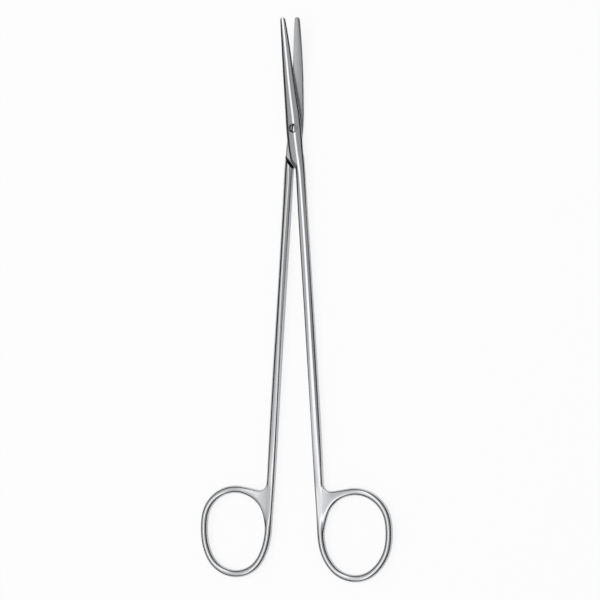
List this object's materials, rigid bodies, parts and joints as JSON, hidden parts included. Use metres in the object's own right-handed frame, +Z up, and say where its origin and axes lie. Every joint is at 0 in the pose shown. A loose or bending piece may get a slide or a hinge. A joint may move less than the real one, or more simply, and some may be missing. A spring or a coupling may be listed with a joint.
{
  "type": "dissecting scissors",
  "caption": "Long slender dissecting scissors, curved on the flat, with blunt tips, a slotted pivot screw and oval finger rings.",
  "frame": {"origin": "pivot axis, at the surface that the scissors lie on, which is the screw's flush end", "axes": "+Y along the scissors towards the tips, +Z up along the pivot axis, away from the surface that they lie on, +X to the right, where the upper half's finger ring is"},
  "size_m": [0.0727, 0.1985, 0.0082],
  "materials": {
    "half_steel": "satin polish, ground along the length",
    "screw_steel": "turned and polished"
  },
  "bodies": {
    "lower": {"lower_half": "half_steel", "pivot_screw": "screw_steel"},
    "upper": {"upper_half": "half_steel"}
  },
  "joints": [
    {"name": "pivot", "type": "hinge", "parent": "lower", "child": "upper", "pos_m": [0, 0, 0.0023], "axis": [0, 0, 1], "range_deg": [-5.5, 84.5]}
  ]
}
